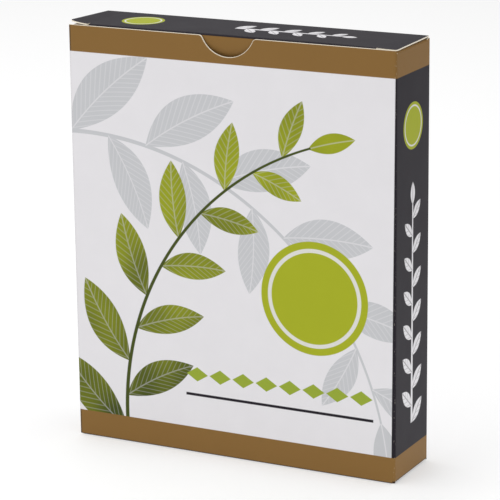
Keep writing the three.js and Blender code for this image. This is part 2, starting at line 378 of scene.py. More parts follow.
def face_outwards(test):
    """Make a sheet's faces agree, and turn them all if they face in.

    The test tells whether a face looks outwards, and gives None for a face that it doesn't judge.
    """
    bpy.ops.mesh.select_mode(type="FACE")
    bpy.ops.mesh.select_all(action="SELECT")
    bpy.ops.mesh.normals_make_consistent(inside=False)
    mesh = bmesh.from_edit_mesh(bpy.context.edit_object.data)
    facing = [test(face.calc_center_median(), face.normal) for face in mesh.faces]
    agreed = [value for value in facing if value is not None]
    if not agreed:
        raise RuntimeError("no face shows which way the sheet faces")
    if not agreed[0]:
        bpy.ops.mesh.flip_normals()


def give_thickness(piece, board, materials):
    """Turn a sheet into board, inwards from its outside, with its materials for outside, inside and edge."""
    wear(piece, *materials)
    bpy.ops.object.modifier_add(type="SOLIDIFY")
    solidify = piece.modifiers[-1]
    solidify.thickness = board
    solidify.offset = -1
    solidify.use_even_offset = True
    solidify.use_rim = True
    solidify.material_offset = 1
    solidify.material_offset_rim = 2
    bpy.ops.object.modifier_apply(modifier=solidify.name)


def smooth(piece, degrees=32):
    """Shade a piece smoothly up to an angle."""
    select_alone(piece)
    bpy.ops.object.shade_smooth_by_angle(angle=math.radians(degrees))


def finish_sheet(piece, board, materials, faces_out, degrees=32):
    """Turn an open sheet's faces outwards, and make it board with smooth folds."""
    face_outwards(faces_out)
    close_mesh()
    give_thickness(piece, board, materials)
    smooth(piece, degrees)
    return piece


def copy_along(piece, name, y):
    """Copy of a piece with its own mesh, moved along the stack."""
    select_alone(piece)
    bpy.ops.object.duplicate(linked=False)
    made = bpy.context.object
    made.location.y = y
    settle(made, name)
    return made


# Materials

class Value:
    """A number that changes over a surface. Python's operators add Math nodes."""

    def __init__(self, finish, socket):
        self.finish = finish
        self.socket = socket

    def with_math(self, operation, *others, reflected=False, clamp=False):
        """Result of one Math node, whose first value is this one unless it is reflected."""
        settings = {"operation": operation, "use_clamp": clamp}
        values = (*others, self) if reflected else (self, *others)
        made = self.finish.node("ShaderNodeMath", settings, dict(enumerate(values)))
        return Value(self.finish, made.outputs[0])

    __add__ = partialmethod(with_math, "ADD")
    __radd__ = partialmethod(with_math, "ADD", reflected=True)
    __sub__ = partialmethod(with_math, "SUBTRACT")
    __rsub__ = partialmethod(with_math, "SUBTRACT", reflected=True)
    __mul__ = partialmethod(with_math, "MULTIPLY")
    __rmul__ = partialmethod(with_math, "MULTIPLY", reflected=True)
    __truediv__ = partialmethod(with_math, "DIVIDE")
    __pow__ = partialmethod(with_math, "POWER")
    __neg__ = partialmethod(with_math, "MULTIPLY", -1)
    __abs__ = partialmethod(with_math, "ABSOLUTE")
    __or__ = partialmethod(with_math, "MAXIMUM")
    __and__ = partialmethod(with_math, "MINIMUM")
    floor = partialmethod(with_math, "FLOOR")
    fraction = partialmethod(with_math, "FRACT")

    def edge(self, softness=0.18):
        """Mask that is 1 where the value is above 0, with an edge as soft as ink on board."""
        return self.with_math("MULTIPLY_ADD", 1 / softness, 0.5, clamp=True)


class Finish:
    """One procedural material, with its patterns in millimetres."""

    def __init__(self, name):
        self.material = bpy.data.materials.new(name)
        self.material.use_nodes = True
        self.tree = self.material.node_tree
        self.tree.nodes.clear()
        place = self.node("ShaderNodeTexCoord").outputs["Object"]
        scaled = self.node("ShaderNodeVectorMath", {"operation": "SCALE"}, {0: place, "Scale": 1 / MM})
        self.place = scaled.outputs[0]
        parts = self.node("ShaderNodeSeparateXYZ", values={0: self.place})
        self.x, self.y, self.z = (Value(self, socket) for socket in parts.outputs)

    def node(self, kind, settings=None, values=None):
        """Node of a type, with its settings made first and then its sockets' values or links."""
        made = self.tree.nodes.new(kind)
        for name, setting in (settings or {}).items():
            setattr(made, name, setting)
        for key, value in (values or {}).items():
            socket = made.inputs[key]
            if isinstance(value, Value):
                value = value.socket
            if isinstance(value, bpy.types.NodeSocket):
                self.tree.links.new(value, socket)
            elif hasattr(socket.default_value, "__len__") and len(socket.default_value) == 4:
                socket.default_value = (*value[:3], 1)
            else:
                socket.default_value = value
        return made

    def noise(self, size, detail=2, stretch=(1, 1, 1), distortion=0):
        """Cloudy pattern whose spots are about so many millimetres across."""
        vector = self.place
        if stretch != (1, 1, 1):
            values = {0: vector, 1: [1 / side for side in stretch]}
            vector = self.node("ShaderNodeVectorMath", {"operation": "MULTIPLY"}, values).outputs[0]
        values = {"Vector": vector, "Scale": 1 / size, "Detail": detail, "Distortion": distortion}
        return Value(self, self.node("ShaderNodeTexNoise", None, values).outputs["Fac"])

    def over(self, under, colour, mask):
        """Colour laid over another where a mask says."""
        values = {0: mask, 6: under, 7: colour}
        return self.node("ShaderNodeMix", {"data_type": "RGBA"}, values).outputs[2]

    def shaded(self, colour, amount):
        """Colour made lighter or darker by a factor about 1."""
        settings = {"data_type": "RGBA", "blend_type": "MULTIPLY"}
        grey = self.node("ShaderNodeCombineColor", None, {0: amount, 1: amount, 2: amount}).outputs[0]
        return self.node("ShaderNodeMix", settings, {0: 1, 6: colour, 7: grey}).outputs[2]

    def bump(self, height, depth):
        """Normal for a height between 0 and 1 that stands for so many millimetres."""
        values = {"Height": height, "Strength": 1, "Distance": depth * MM}
        return self.node("ShaderNodeBump", None, values).outputs[0]

    def finished(self, colour, roughness, normal=None, **constants):
        """Close the material with its shader."""
        values = {"Base Color": colour, "Roughness": roughness}
        if normal is not None:
            values["Normal"] = normal
        for name, value in constants.items():
            values[name.replace("_", " ").title().replace("Ior", "IOR")] = value
        shader = self.node("ShaderNodeBsdfPrincipled", None, values)
        self.node("ShaderNodeOutputMaterial", None, {"Surface": shader.outputs[0]})
        return self.material


def between(value, low, high):
    """Mask that is 1 where a value lies between two others."""
    return (value - low).edge() & (high - value).edge()


def leaf(x, z, foot_x, foot_z, degrees, size, slender=0.2):
    """Mask of one leaf, from its foot out at an angle."""
    c, s = math.cos(math.radians(degrees)), math.sin(math.radians(degrees))
    along = (x - foot_x) * c + (z - foot_z) * s
    across = (z - foot_z) * c - (x - foot_x) * s
    return (along * (size - along) * (4 * slender / size) - abs(across)).edge()


def leaf_row(along, across, total, pitch, size, last, slender, lean=50):
    """Masks of a stem, the leaves that leave it on both sides in turn, and the veins of those leaves.

    The stem runs from 0 to the total, with a leaf of its own at its tip. The leaves shrink from the size to
    the last.
    """
    c, s = math.cos(math.radians(lean)), math.sin(math.radians(lean))
    rib_reach, vein_pitch, vein_lean = 0.22, 2.6, 1.3
    foot_reach, thinning = 0.75, 0.4
    on_row = between(along, 0, total)
    tip_foot = total - 0.6 * pitch
    leaves = None
    veins = None
    for side, start in ((1, 0.0), (-1, 0.5)):
        cell = along / pitch + start
        foot = cell.fraction() * pitch
        here = size + cell.floor() * ((last - size) * pitch / total)
        out = across * side
        u = foot * c + out * s
        v = abs(out * c - foot * s)
        whole = between(cell.floor(), 0.5 if start else -0.5, total // pitch - 0.5)
        body = (u * (here - u) / here * (4 * slender) - v).edge() & whole
        fine = ((u - v * vein_lean) / vein_pitch).fraction()
        rib = (rib_reach - v).edge() | ((0.1 - abs(fine - 0.5)).edge(0.1) * 0.55)
        leaves = body if leaves is None else leaves | body
        veins = rib * body if veins is None else veins | (rib * body)
    reach = foot_reach - along * (thinning / total)
    stem = (reach - abs(across)).edge() & between(along, 0, tip_foot + 1)
    tip = leaf(along, across, tip_foot, 0, 0, last, slender)
    tip_rib = (rib_reach - abs(across)).edge() * tip
    return stem, (leaves & on_row) | tip, (veins & on_row) | tip_rib


def arc_places(x, z, middle_x, middle_z, radius, start_degrees):
    """Distance along and across a stem that follows a circle, clockwise from an angle."""
    dx, dz = x - middle_x, z - middle_z
    angle = dz.with_math("ARCTAN2", dx)
    turned = angle + (-angle).edge(0.02) * (2 * math.pi)
    along = (math.radians(start_degrees) - turned) * radius
    across = (dx ** 2 + dz ** 2) ** 0.5 - radius
    return along, across


def ringed_disc(finish, field, colours, across, up, radius):
    """Round green field with a thin pale ring near its edge, about the point where both places are 0."""
    ring_place, ring_reach = 0.84, 0.035
    away = (across ** 2 + up ** 2) ** 0.5
    field = finish.over(field, colours.leaf, (radius - away).edge())
    ring = (radius * ring_reach - abs(away - radius * ring_place)).edge()
    return finish.over(field, colours.white, ring * 0.85)


def front_design(finish, colours):
    """Generic print of the front: curved sprays of leaves, a disc, and a border of lozenges."""
    x, z = finish.x, finish.z
    disc_x, disc_z = 32, 62
    border_left, border_right, border_z, rule_z = -18, 54, 29, 21.5
    lozenge_pitch, lozenge_reach, lozenge_slope = 9, 2.6, 0.62

    along, across = arc_places(x, z, middle_x=-58, middle_z=-6, radius=118, start_degrees=92)
    stem, leaves, veins = leaf_row(along, across, total=180, pitch=30, size=40, last=24, slender=0.2)
    field = finish.over(colours.white, colours.grey, stem | leaves)
    field = finish.over(field, colours.white, veins * 0.6)
    along, across = arc_places(x, z, middle_x=66, middle_z=12, radius=108, start_degrees=184)
    stem, leaves, veins = leaf_row(along, across, total=156, pitch=26, size=35, last=18, slender=0.19)
    age = (finish.noise(30, 1) * 1.6 - 0.72).with_math("ADD", along / 190, clamp=True)
    green = finish.over(colours.dark_leaf, colours.leaf, age)
    field = finish.over(field, green, leaves)
    field = finish.over(field, colours.white, veins * 0.3)
    field = finish.over(field, colours.dark_leaf, stem)

    field = ringed_disc(finish, field, colours, x - disc_x, z - disc_z, radius=20)
    step = (x / lozenge_pitch).fraction() * lozenge_pitch - lozenge_pitch / 2
    lozenge = (lozenge_reach - abs(step) * lozenge_slope - abs(z - border_z)).edge()
    row = between(x, border_left, border_right)
    field = finish.over(field, colours.olive, lozenge & row)
    rule = (0.5 - abs(z - rule_z)).edge() & row
    return finish.over(field, colours.charcoal, rule)


def pale_spray(finish, colours, along, across, **row):
    """Straight pale spray of leaves on charcoal."""
    stem, leaves, veins = leaf_row(along, across, **row)
    field = finish.over(colours.charcoal, colours.white, stem | leaves)
    return finish.over(field, colours.charcoal, veins * 0.5)


def side_design(finish, colours):
    """Generic print of the right-hand wall: a pale spray up its middle and a disc near the top."""
    y, z = finish.y, finish.z
    spray_foot, disc_z = 18, 122
    row = {"total": 84, "pitch": 12, "size": 11, "last": 8, "slender": 0.22}
    field = pale_spray(finish, colours, z - spray_foot, y, **row)
    return ringed_disc(finish, field, colours, y, z - disc_z, radius=8)


def lid_design(finish, colours):
    """Generic print of the lid: a disc at the left and a pale spray at the right."""
    x, y = finish.x, finish.y
    spray_foot, disc_x = -4, -40
    row = {"total": 45, "pitch": 9, "size": 8, "last": 6, "slender": 0.24}
    field = pale_spray(finish, colours, x - spray_foot, y, **row)
    return ringed_disc(finish, field, colours, x - disc_x, y, radius=7.5)


def varnished(finish, field, colours):
    """Close a printed face: ink that varies a little, cracks on the folds, and a satin varnish."""
    clouds = finish.noise(9, 3)
    field = finish.shaded(field, clouds * 0.05 + 0.975)
    fold_line = (abs(finish.x) - SIDE_FOLD).edge(0.3) & (abs(finish.y) - FRONT_FOLD).edge(0.3)
    flecks = (finish.noise(0.3, 2, (1, 1, 3)) - 0.67).edge(0.06)
    field = finish.over(field, colours.edge, fold_line * flecks * 0.2)
    fibres = finish.noise(0.22, 2) * 0.6 + finish.noise(2.4, 2) * 0.4
    normal = finish.bump(fibres, 0.012)
    return finish.finished(field, clouds * 0.1 + 0.36, normal, specular_ior_level=0.065, coat_weight=0.02)


def notch_rim(x, z, sizes):
    """Value above 0 on a thin line just below the thumb notch's cut edge and its flares."""
    centre, flare_centre, span = (value / MM for value in notch_circles(sizes))
    radius, flare = sizes.notch_radius / MM, sizes.notch_flare / MM
    joint = centre - radius * (centre - flare_centre) / (radius + flare)
    reach, middle = 0.1, 0.06
    line = reach - abs((x ** 2 + (z - centre) ** 2) ** 0.5 - (radius + middle))
    out = span - abs(x)
    flare_line = reach - abs((out ** 2 + (z - flare_centre) ** 2) ** 0.5 - (flare - middle))
    return line | (flare_line & out & (z - joint))


def printed_walls(colours, sizes):
    """Outside of the walls and the flaps that fold from them."""
    finish = Finish("printed_walls")
    x, y, z = finish.x, finish.y, finish.z
    front_shade_top, side_shade_top, under_top = 0.5, 1.05, 0.2
    front = (-FRONT_EDGE - y).edge()
    field = finish.over(colours.white, front_design(finish, colours), front)
    right = finish.over(colours.charcoal, side_design(finish, colours), (x - SIDE_FACE).edge(0.1))
    side = (x - (z * RIGHT_LEAN + RIGHT_EDGE)).edge() | (-LEFT_EDGE - x).edge()
    field = finish.over(field, right, side)
    bands = (BAND_FOOT - z).edge() | (z - BAND_TOP).edge()
    field = finish.over(field, colours.gold, bands)

    # Painted shade: charcoal along the underside of the bottom folds where the carton meets the floor, and
    # down the front's left fold, strongest in the gold bands
    front_foot = (front_shade_top - z).edge() & (-SHADE_FRONT - y).edge()
    side_foot = (side_shade_top - z).edge() & (abs(x) - SHADE_SIDE).edge()
    left_fold = (-SHADE_SIDE - x).edge() & front
    painted_shade = (front_foot | side_foot) * 0.85 | (left_fold * (bands * 0.45 + 0.06))
    field = finish.over(field, colours.charcoal, painted_shade)
    cut_line = (notch_rim(x, z, sizes) | (z - CUT_TOP)).edge(0.1) & (-CUT_FRONT - y).edge()
    field = finish.over(field, colours.edge, cut_line * 0.8)

    underside = (under_top - z).edge(0.05) & (y + BARE_UNDER).edge()
    field = finish.over(field, colours.white, underside)
    return varnished(finish, field, colours)


def printed_lid(colours):
    """Outside of the lid, charcoal on top and gold brown down the tuck flap."""
    finish = Finish("printed_lid")
    on_top = (finish.z - LID_FACE).edge(0.05)
    field = finish.over(colours.charcoal, lid_design(finish, colours), on_top)
    field = finish.over(field, colours.gold, (TUCK_GOLD - finish.z).edge())
    return varnished(finish, field, colours)


def bare_board(colours):
    """Uncoated inside of the board, with fibres in it."""
    finish = Finish("inside_board")
    flecks = (finish.noise(0.7, 3, (3, 1, 1)) - 0.66).edge(0.1) * 0.3
    colour = finish.shaded(colours.inside, finish.noise(5, 3) * 0.1 + 0.95)
    colour = finish.over(colour, colours.paper, flecks)
    fibres = finish.noise(0.3, 3) * 0.7 + finish.noise(1.6, 2, (2, 1, 1)) * 0.3
    return finish.finished(colour, 0.82, finish.bump(fibres, 0.03))


def cut_edge(colours):
    """Raw edge where the board was cut, in thin layers."""
    finish = Finish("cut_edge")
    layers = finish.noise(0.12, 2, (8, 1, 1))
    colour = finish.shaded(colours.edge, layers * 0.16 + 0.9)
    return finish.finished(colour, 0.88, finish.bump(layers, 0.02))


def filter_paper(colours, low, high, sizes):
    """Unbleached filter paper: long fibres, a fine crimp, and pressed bars down the seals."""
    finish = Finish("filter_paper")
    bar_pitch, stitch_rise, stitch_reach = 1.2, 0.8, 0.35
    seal = (abs(finish.x) - (high.x - sizes.seal_width) / MM).edge(0.4)
    rise = finish.z - low.z / MM
    bars = ((rise / bar_pitch).fraction() - 0.5).edge(0.3) * seal
    long_fibres = finish.noise(0.5, 4, (1, 1, 5), 0.6)
    short_fibres = finish.noise(0.35, 4, (4, 1, 1), 0.4)
    fibres = long_fibres | short_fibres
    tone = fibres * 0.34 + finish.noise(16, 2) * 0.14 + 0.76
    colour = finish.shaded(colours.paper, tone)
    hem_foot = (high.z - sizes.tag_rise - sizes.hem - low.z) / MM
    stitch = (stitch_reach - abs(rise - (hem_foot + stitch_rise))).edge()
    colour = finish.shaded(colour, 1 - seal * 0.1 - stitch * 0.14)
    height = fibres * 0.5 + bars * 0.4 - stitch * 0.3
    return finish.finished(colour, 0.92, finish.bump(height, 0.09), sheen_weight=0.15)


def cotton_string(colours):
    """Twisted cotton."""
    finish = Finish("cotton_string")
    ply_pitch = 0.55
    ply = ((finish.z + finish.x + finish.y) / ply_pitch).fraction()
    twist = abs(ply - 0.5) * 2
    colour = finish.shaded(colours.cotton, twist * 0.14 + finish.noise(0.2, 2) * 0.1 + 0.8)
    return finish.finished(colour, 0.9, finish.bump(twist, 0.05), sheen_weight=0.3)


def tag_card(colours, centre, middle):
    """White card with a pair of leaves printed on it, about the tag's middle."""
    finish = Finish("tag_card")
    field = colours.card
    foot = middle - 5
    for colour, degrees, size in ((colours.leaf, 118, 11), (colours.olive, 58, 9)):
        field = finish.over(field, colour, leaf(finish.x, finish.z, centre, foot, degrees, size, 0.24))
    field = finish.shaded(field, finish.noise(3, 3) * 0.05 + 0.97)
    return finish.finished(field, 0.6, finish.bump(finish.noise(0.25, 3), 0.02))


def studio_floor(colours, glow):
    """Plain pale floor that glows a little, as a light table does."""
    finish = Finish("studio_floor")
    colour = finish.shaded(colours.floor, finish.noise(400, 1) * 0.01 + 0.995)
    return finish.finished(colour, 0.9, emission_color=(1, 1, 1), emission_strength=glow)


def wear(piece, *materials):
    """Give a piece its materials, first the outside, then the inside, then the cut edge."""
    piece.data.materials.clear()
    for material in materials:
        piece.data.materials.append(material)


# The board

def notch_circles(sizes):
    """Heights of the centres of the thumb notch's circle and its flares, and how far out the flares are."""
    centre = FRONT_TOP + sizes.notch_radius - sizes.notch_depth
    flare_centre = FRONT_TOP - sizes.notch_flare
    span = math.sqrt((sizes.notch_radius + sizes.notch_flare) ** 2 - (centre - flare_centre) ** 2)
    return centre, flare_centre, span


def notch_profile(sizes):
    """Half of the thumb notch's outline, from its middle to where it meets the wall's edge."""
    centre, flare_centre, span = notch_circles(sizes)
    lean = math.atan2(centre - flare_centre, span)
    points = []
    for step in range(NOTCH_STEPS + 1):
        angle = (RIGHT_ANGLE - lean) * step / NOTCH_STEPS
        x = sizes.notch_radius * math.sin(angle)
        points.append((x, centre - sizes.notch_radius * math.cos(angle)))
    for step in range(1, FLARE_STEPS):
        angle = lean + (RIGHT_ANGLE - lean) * step / FLARE_STEPS
        x = span - sizes.notch_flare * math.cos(angle)
        points.append((x, flare_centre + sizes.notch_flare * math.sin(angle)))
    return points, span


def cut_notch(sizes):
    """Cut the thumb notch down into the front wall's top edge."""
    points, span = notch_profile(sizes)
    below = 2 * MM
    row = FRONT_TOP - sizes.notch_depth - below
    cut("z", row, lambda middle, facing: near(middle.y, -HALF_DEPTH))

    def band(middle, facing):
        return near(middle.y, -HALF_DEPTH) and middle.z > row

    for side in (-1, 1):
        cut("x", side * span, band)
        for x, z in points:
            cut("x", side * x, band)
    for x, z in points:
        def on_edge(p):
            return near(abs(p.x), x) and near(p.y, -HALF_DEPTH) and near(p.z, FRONT_TOP)

        pick("VERT", on_edge)
        shift(z=z - FRONT_TOP)


class WallPlaces:
    """Places on the folded sheet of the walls that follow from the frame and the board's sizes.

    A wall's top, foot or end is where its fold starts. From the hook outwards, the dust flaps reach forward
    under the lid's shoulders. Further in, they start behind the tuck flap, and they end at the tip.
    """

    def __init__(self, sizes):
        r = sizes.crease
        self.layer = sizes.thickness + sizes.glue_line
        self.under_lid = LID_TOP - sizes.thickness - sizes.sheet_gap
        self.glue_face = HALF_DEPTH - self.layer
        self.side_end = self.glue_face - r
        self.side_top = self.under_lid - r
        self.side_foot = sizes.foot + r
        self.back_top = LID_TOP - r
        self.back_foot = self.layer + r
        self.across = HALF_WIDTH - r - sizes.cut_inset
        self.hook = HALF_WIDTH - sizes.shoulder
        self.hook_front = LID_LOW.y + sizes.thickness + sizes.sheet_gap
        self.tip = HALF_WIDTH - sizes.dust_flap
        self.dust_back = self.side_end - sizes.cut_inset
        self.lean = sizes.dust_taper / (LEAN_START + sizes.dust_flap - sizes.dust_corner)
        self.root_back = self.dust_back - LEAN_START * self.lean


def open_walls(sizes, at):
    """Take off the block's top and bottom, open its back left corner, and round its other corners."""
    pick("FACE", lambda middle, facing: abs(facing.z) > SQUARE_ON)
    bpy.ops.mesh.delete(type="ONLY_FACE")
    pick("EDGE", both(stands_at(x=-HALF_WIDTH, y=HALF_DEPTH)))
    bpy.ops.mesh.edge_split(type="EDGE")
    pick("VERT", stands_at(x=-HALF_WIDTH), lambda facing: facing.y > SQUARE_ON)
    shift(x=sizes.cut_inset)
    pick("VERT", stands_at(y=HALF_DEPTH), lambda facing: facing.x < -SQUARE_ON)
    shift(y=-at.layer)
    pick("EDGE", both(stands_at(x=-HALF_WIDTH, y=at.glue_face)))
    run_on(x=sizes.glue_flap)
    corners = [
        both(stands_at(x=HALF_WIDTH, y=HALF_DEPTH)),
        both(stands_at(x=HALF_WIDTH, y=-HALF_DEPTH)),
        both(stands_at(x=-HALF_WIDTH, y=-HALF_DEPTH)),
        both(stands_at(x=-HALF_WIDTH, y=at.glue_face)),
    ]
    pick("EDGE", lambda a, b: any(test(a, b) for test in corners))
    round_off(sizes.crease)


def trim_walls(sizes, at):
    """Cut the walls along their folds, take away what stands past them, and give the large ones a grid."""
    def on_side(middle, facing):
        return abs(facing.x) > FLAT_ON

    def on_front_or_back(middle, facing):
        return near(abs(middle.y), HALF_DEPTH)

    def rear(middle):
        return middle.y > at.side_end - 5 * HAIR

    def between_corners(middle):
        return abs(middle.x) < at.across

    for y in (at.side_end, at.root_back, at.hook_front):
        cut("y", y, on_side)
    for x in (-at.across, at.across):
        cut("x", x, on_front_or_back)
    for z in (at.side_top, at.side_foot):
        cut("z", z, on_side)
    cut("z", at.back_top, lambda middle, facing: middle.y > at.root_back)
    cut("z", at.back_foot, lambda middle, facing: rear(middle) and between_corners(middle))
    cut("z", sizes.crease, lambda middle, facing: near(middle.y, -HALF_DEPTH) and between_corners(middle))

    def surplus(middle, facing):
        if middle.y > at.root_back and middle.z > at.back_top:
            return True
        if rear(middle):
            return between_corners(middle) and middle.z < at.back_foot
        if on_side(middle, facing):
            return (middle.z > at.side_top and middle.y < at.root_back) or middle.z < at.side_foot
        return between_corners(middle) and middle.z < sizes.crease

    pick("FACE", surplus)
    bpy.ops.mesh.delete(type="FACE")
    for step in range(-3, 4):
        cut("x", step * WALL_GRID, on_front_or_back)
    for step in range(1, 10):
        cut("z", step * WALL_GRID, on_front_or_back)


def fold_dust_flap(side, sizes, at):
    """Fold a side wall's top over, and draw the dust flap on from it."""
    fold_x = side * (HALF_WIDTH - sizes.crease)

    def wall_top(p):
        return near(p.x, side * HALF_WIDTH) and near(p.z, at.side_top) and p.y < at.root_back + HAIR

    pick("EDGE", both(wall_top))
    fold((fold_x, 0, at.side_top), (0, -side, 0), RIGHT_ANGLE, {"x": fold_x, "z": at.under_lid})
    run_on(x=side * at.hook - fold_x)

    def at_hook(p):
        return near(p.x, side * at.hook) and near(p.z, at.under_lid) and p.y > at.hook_front - HAIR

    pick("EDGE", both(at_hook))
    run_on(x=side * (at.tip - at.hook))
    tip_back = at.dust_back - sizes.dust_taper
    for x, back in ((at.hook, at.root_back - at.lean * sizes.shoulder), (at.tip, tip_back)):
        pick("VERT", stands_at(side * x, at.root_back, at.under_lid))
        shift(y=back - at.root_back)
    ends = (at.hook_front, tip_back)
    pick("VERT", lambda p: near(p.x, side * at.tip) and any(near(p.y, y) for y in ends))
    round_off(sizes.dust_corner, affect="VERTICES")


def fold_side_foot(side, sizes, at):
    """Fold a side wall's foot inwards, and draw its flap on over the bottom's other flaps."""
    fold_x = side * (HALF_WIDTH - sizes.crease)

    def wall_foot(p):
        return near(p.x, side * HALF_WIDTH) and near(p.z, at.side_foot) and p.y < at.side_end + HAIR

    pick("EDGE", both(wall_foot))
    fold((fold_x, 0, at.side_foot), (0, side, 0), RIGHT_ANGLE, {"x": fold_x, "z": sizes.foot})
    run_on(x=-side * sizes.ramp, z=2 * at.layer - sizes.foot)
    run_on(x=side * (sizes.crease + sizes.ramp - sizes.bottom_flap))


def fold_bottom(sizes, at):
    """Fold the bottom's inner flap from the back wall, and then its outer flap from the front wall."""
    r = sizes.crease
    back_y = HALF_DEPTH - r
    outer_end = HALF_DEPTH - sizes.cut_inset

    def pick_foot(y, z):
        pick("EDGE", both(lambda p: near(p.y, y) and near(p.z, z) and abs(p.x) < at.across + HAIR))

    def narrow_end(y, z):
        for side in (-1, 1):
            pick("VERT", stands_at(side * at.across, y, z))
            shift(x=-side * sizes.ramp)

    pick_foot(HALF_DEPTH, at.back_foot)
    fold((0, back_y, at.back_foot), (-1, 0, 0), RIGHT_ANGLE, {"y": back_y, "z": at.layer})
    run_on(y=at.side_end - back_y)
    narrow_end(at.side_end, at.layer)
    pick("EDGE", both(stands_at(y=at.side_end, z=at.layer)))
    run_on(y=HALF_DEPTH - sizes.inner_flap - at.side_end)
    pick_foot(-HALF_DEPTH, r)
    fold((0, -back_y, r), (1, 0, 0), RIGHT_ANGLE, {"y": -back_y, "z": 0})
    run_on(y=outer_end + back_y)
    narrow_end(outer_end, 0)


def bow_walls(sizes):
    """Let the front and the back wall bow outwards from their middle."""
    for side in (-1, 1):
        pick("VERT", stands_at(0, side * HALF_DEPTH, 5 * WALL_GRID))
        bpy.ops.transform.translate(
            value=(0, side * sizes.panel_bow, 0),
            use_proportional_edit=True,
            proportional_edit_falloff="SMOOTH",
            proportional_size=BOW_REACH,
            use_proportional_connected=True,
        )


def fold_walls(sizes, materials):
    """Outside of the carton's sheet: walls, glue flap, dust flaps and the glued bottom."""
    at = WallPlaces(sizes)
    low, high = (-HALF_WIDTH, -HALF_DEPTH, sizes.foot), (HALF_WIDTH, HALF_DEPTH, FRONT_TOP)
    piece = start_block("carton_walls", low, high)
    open_walls(sizes, at)
    trim_walls(sizes, at)
    cut_notch(sizes)
    for side in (-1, 1):
        fold_dust_flap(side, sizes, at)
        fold_side_foot(side, sizes, at)
    fold_bottom(sizes, at)
    bow_walls(sizes)

    def front_faces_out(middle, facing):
        return facing.y < 0 if middle.y < -HALF_DEPTH + HAIR / 2 else None

    return finish_sheet(piece, sizes.thickness, materials, front_faces_out)


def bend_shoulder(piece, sizes, side, root, bend, power):
    """Turn one end of the lid about its crease, and more so the further it lies past its root."""
    half = LID_HIGH.x
    neck = half - sizes.shoulder
    crease = (0, HALF_DEPTH - sizes.crease, LID_TOP)

    def on_shoulder(middle, facing):
        return side * middle.x > neck and abs(facing.z) > SQUARE_ON

    for part in (0.2, 0.4, 0.6, 0.8):
        cut("x", side * (neck + part * sizes.shoulder), on_shoulder)
    mesh = bmesh.from_edit_mesh(piece.data)
    columns = {round(point.co.x, 7) for point in mesh.verts if side * point.co.x > root + 5 * HAIR}
    for x in sorted(columns):
        lift = bend * ((side * x - root) / (half - root)) ** power
        pick("VERT", lambda p: near(p.x, x, HAIR / 5))
        bpy.ops.transform.rotate(
            value=math.atan2(lift, crease[1] - LID_LOW.y),
            orient_axis="X",
            orient_type="GLOBAL",
            center_override=crease,
        )


def fold_lid(sizes, materials):
    """Lid panel with its shoulders, its fold and the bowed tuck flap."""
    r = sizes.crease
    half = LID_HIGH.x
    neck = half - sizes.shoulder
    roots = {-1: neck + sizes.slit_width, 1: neck + sizes.tight_slit}
    reach = HALF_DEPTH - LID_LOW.y
    shoulder_back = LID_LOW.y + 2 * r
    fold_line = HALF_DEPTH - math.sqrt((reach - r) ** 2 - r**2)
    start = math.asin(r / (reach - r))
    turn = sizes.tuck / reach

    def on_bow(angle):
        return {"y": HALF_DEPTH - reach * math.cos(angle), "z": LID_TOP - reach * math.sin(angle)}

    def cut_away(middle, facing):
        if abs(middle.x) < neck:
            return middle.y < fold_line
        return -roots[-1] < middle.x < roots[1] and middle.y < shoulder_back

    def top_faces_up(middle, facing):
        return facing.z > 0 if abs(middle.y) < HALF_DEPTH / 4 else None

    piece = start_sheet("lid_sheet", (-half, LID_LOW.y, LID_TOP), (half, HALF_DEPTH - r, LID_TOP))
    for side, root in roots.items():
        cut("x", side * neck)
        cut("x", side * root)
    cut("y", shoulder_back)
    cut("y", fold_line, lambda middle, facing: abs(middle.x) < neck)
    pick("FACE", cut_away)
    bpy.ops.mesh.delete(type="FACE")
    pick("EDGE", both(lambda p: abs(p.x) < neck + HAIR and near(p.y, fold_line)))
    fold((0, fold_line, LID_TOP - r), (1, 0, 0), RIGHT_ANGLE + start, on_bow(start), 8)
    fold(HINGE, (1, 0, 0), turn, on_bow(start + turn), TUCK_ROWS)

    corner_middle = on_bow(start + turn)["z"] - sizes.thickness + sizes.tuck_corner
    for row in range(1, TUCK_ROWS + 1):
        z = on_bow(start + turn * row / TUCK_ROWS)["z"]
        if z > corner_middle:
            continue
        inwards = sizes.tuck_corner - math.sqrt(sizes.tuck_corner**2 - (corner_middle - z) ** 2)
        for side in (-1, 1):
            pick("VERT", stands_at(x=side * neck, z=z))
            shift(x=-side * inwards)
    for side, corner in ((-1, sizes.left_corner), (1, sizes.shoulder_corner)):
        pick("VERT", stands_at(x=side * half, y=LID_LOW.y))
        round_off(corner, affect="VERTICES")

    pressed = neck - sizes.press_reach
    for part in (0, 1 / 3, 2 / 3):
        cut("x", pressed + part * sizes.press_reach)
    bend_shoulder(piece, sizes, side=-1, root=roots[-1], bend=sizes.shoulder_curl, power=1.4)
    bend_shoulder(piece, sizes, side=1, root=pressed, bend=-sizes.shoulder_press, power=1)
    return finish_sheet(piece, sizes.thickness, materials, top_faces_up)


def fold_crease(sizes, materials):
    """Curved strip between the back wall and the lid."""
    r = sizes.crease
    half = HALF_WIDTH - r
    top = LID_TOP - r
    low, high = (-half, HALF_DEPTH, top - r), (half, HALF_DEPTH, top)
    piece = start_sheet("lid_crease", low, high, RIGHT_ANGLE)
    pick("EDGE", both(stands_at(z=top)))
    fold((0, HALF_DEPTH - r, top), (1, 0, 0), RIGHT_ANGLE, {"y": HALF_DEPTH - r, "z": LID_TOP}, 8)
    pick("FACE", lambda middle, facing: middle.z < top - 10 * HAIR)
    bpy.ops.mesh.delete(type="FACE")
    return finish_sheet(piece, sizes.thickness, materials, lambda middle, facing: facing.y + facing.z > 0, 60)


# The filters

